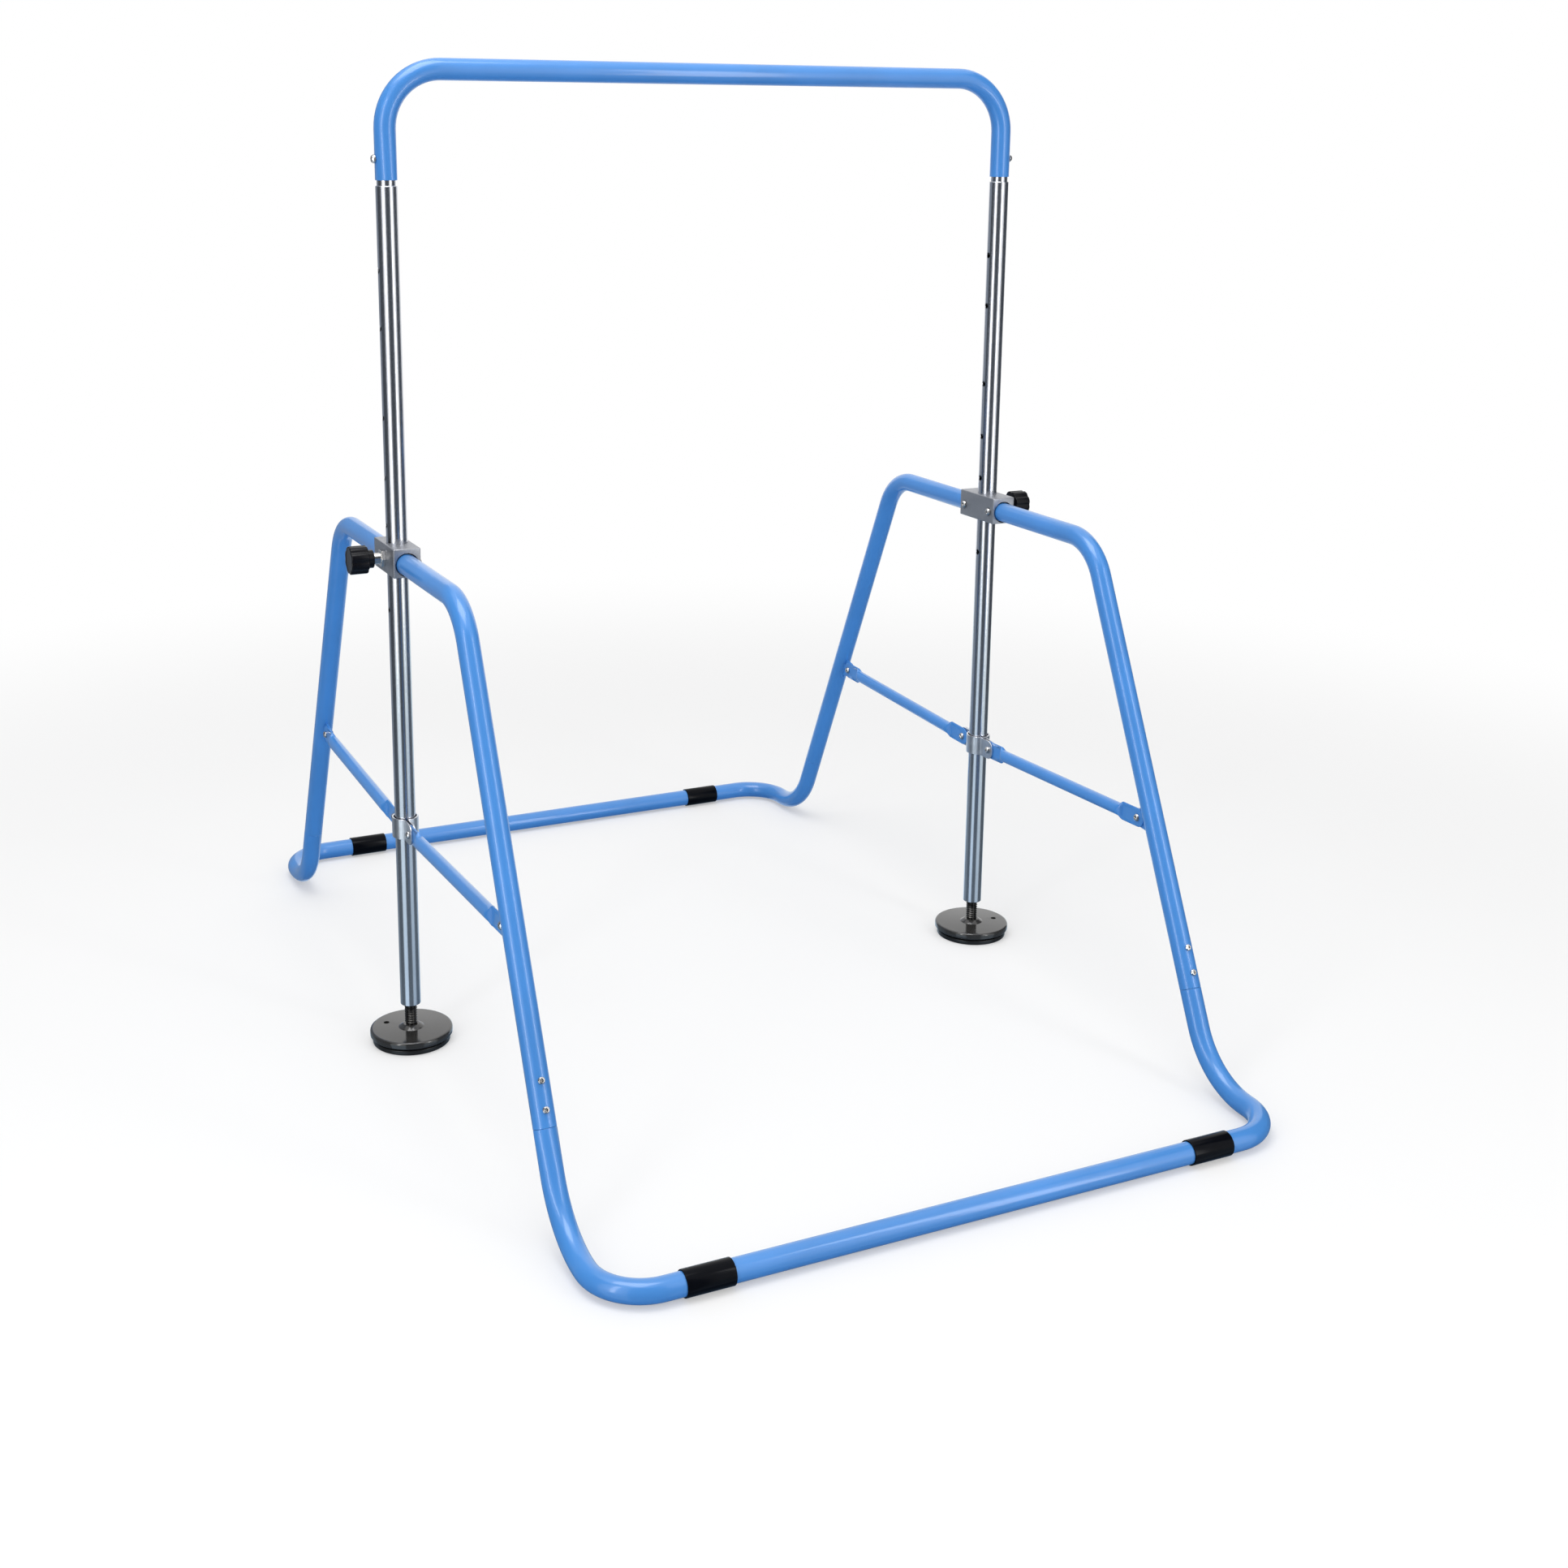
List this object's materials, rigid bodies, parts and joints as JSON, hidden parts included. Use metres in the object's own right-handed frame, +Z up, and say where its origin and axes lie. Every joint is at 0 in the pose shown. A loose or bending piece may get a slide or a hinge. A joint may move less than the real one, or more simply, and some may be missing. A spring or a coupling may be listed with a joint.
{
  "type": "gymnastics horizontal bar",
  "caption": "Free-standing gymnastics horizontal bar: a U-shaped bar on two height-adjustable posts with spring plungers, bent floor frames, braces and screw feet.",
  "frame": {"origin": "on the floor under the middle of the bar", "axes": "+X along the bar, +Z up, -Y is the front"},
  "size_m": [1.196, 1.7064, 1.516],
  "materials": {
    "blue_powder_coat": "semi-gloss powder coat",
    "chromed_steel": "bright chrome",
    "stainless_steel": "bright steel",
    "cast_aluminium": "satin",
    "black_plastic": "gloss",
    "black_foot_plastic": "gloss",
    "black_rubber": "matte"
  },
  "bodies": {
    "frame": {"front_base_tube": "blue_powder_coat", "front_left_sleeve": "black_rubber", "front_right_sleeve": "black_rubber", "left_block": "cast_aluminium", "left_collar_inner": "stainless_steel", "left_collar_outer": "stainless_steel", "left_front_block_screw": "stainless_steel", "left_front_brace": "blue_powder_coat", "left_front_brace_bolt": "stainless_steel", "left_front_collar_bolt": "stainless_steel", "left_front_leg": "blue_powder_coat", "left_front_leg_screw_lower": "stainless_steel", "left_front_leg_screw_upper": "stainless_steel", "left_plunger_body": "stainless_steel", "left_plunger_spring": "stainless_steel", "left_rear_block_screw": "stainless_steel", "left_rear_brace": "blue_powder_coat", "left_rear_brace_bolt": "stainless_steel", "left_rear_collar_bolt": "stainless_steel", "left_rear_leg": "blue_powder_coat", "left_rear_leg_screw_lower": "stainless_steel", "left_rear_leg_screw_upper": "stainless_steel", "rear_base_tube": "blue_powder_coat", "rear_left_sleeve": "black_rubber", "rear_right_sleeve": "black_rubber", "right_block": "cast_aluminium", "right_collar_inner": "stainless_steel", "right_collar_outer": "stainless_steel", "right_front_block_screw": "stainless_steel", "right_front_brace": "blue_powder_coat", "right_front_brace_bolt": "stainless_steel", "right_front_collar_bolt": "stainless_steel", "right_front_leg": "blue_powder_coat", "right_front_leg_screw_lower": "stainless_steel", "right_front_leg_screw_upper": "stainless_steel", "right_plunger_body": "stainless_steel", "right_plunger_spring": "stainless_steel", "right_rear_block_screw": "stainless_steel", "right_rear_brace": "blue_powder_coat", "right_rear_brace_bolt": "stainless_steel", "right_rear_collar_bolt": "stainless_steel", "right_rear_leg": "blue_powder_coat", "right_rear_leg_screw_lower": "stainless_steel", "right_rear_leg_screw_upper": "stainless_steel"},
    "bar": {"crossbar": "blue_powder_coat", "left_post": "chromed_steel", "right_post": "chromed_steel", "left_crossbar_screw": "stainless_steel", "right_crossbar_screw": "stainless_steel"},
    "left_plunger": {"left_plunger_pin": "stainless_steel", "left_knob": "black_plastic"},
    "left_foot_pad": {"left_foot_pad": "black_rubber"},
    "left_foot_screw": {"left_foot_spindle": "stainless_steel", "left_foot_disc": "black_foot_plastic"},
    "right_plunger": {"right_plunger_pin": "stainless_steel", "right_knob": "black_plastic"},
    "right_foot_pad": {"right_foot_pad": "black_rubber"},
    "right_foot_screw": {"right_foot_spindle": "stainless_steel", "right_foot_disc": "black_foot_plastic"}
  },
  "joints": [
    {"name": "height_slide", "type": "slide", "parent": "frame", "child": "bar", "axis": [0, 0, 1], "range_m": [0, 0.0805]},
    {"name": "left_plunger_slide", "type": "slide", "parent": "frame", "child": "left_plunger", "axis": [1, 0, 0], "range_m": [0, 0.006]},
    {"name": "right_plunger_slide", "type": "slide", "parent": "frame", "child": "right_plunger", "axis": [-1, 0, 0], "range_m": [0, 0.006]},
    {"name": "left_foot_lift", "type": "slide", "parent": "bar", "child": "left_foot_pad", "axis": [0, 0, 1], "range_m": [0, 0.02]},
    {"name": "left_foot_turn", "type": "hinge", "parent": "left_foot_pad", "child": "left_foot_screw", "pos_m": [-0.523, 0, 0.0115], "axis": [0, 0, 1], "range_deg": [0, 1810]},
    {"name": "right_foot_lift", "type": "slide", "parent": "bar", "child": "right_foot_pad", "axis": [0, 0, 1], "range_m": [0, 0.02]},
    {"name": "right_foot_turn", "type": "hinge", "parent": "right_foot_pad", "child": "right_foot_screw", "pos_m": [0.523, 0, 0.0115], "axis": [0, 0, 1], "range_deg": [0, 1810]}
  ],
  "couplings": [
    {"joint": "left_foot_turn", "follows": "left_foot_lift", "rad_per_m": 1570.8},
    {"joint": "right_foot_turn", "follows": "right_foot_lift", "rad_per_m": 1570.8}
  ]
}
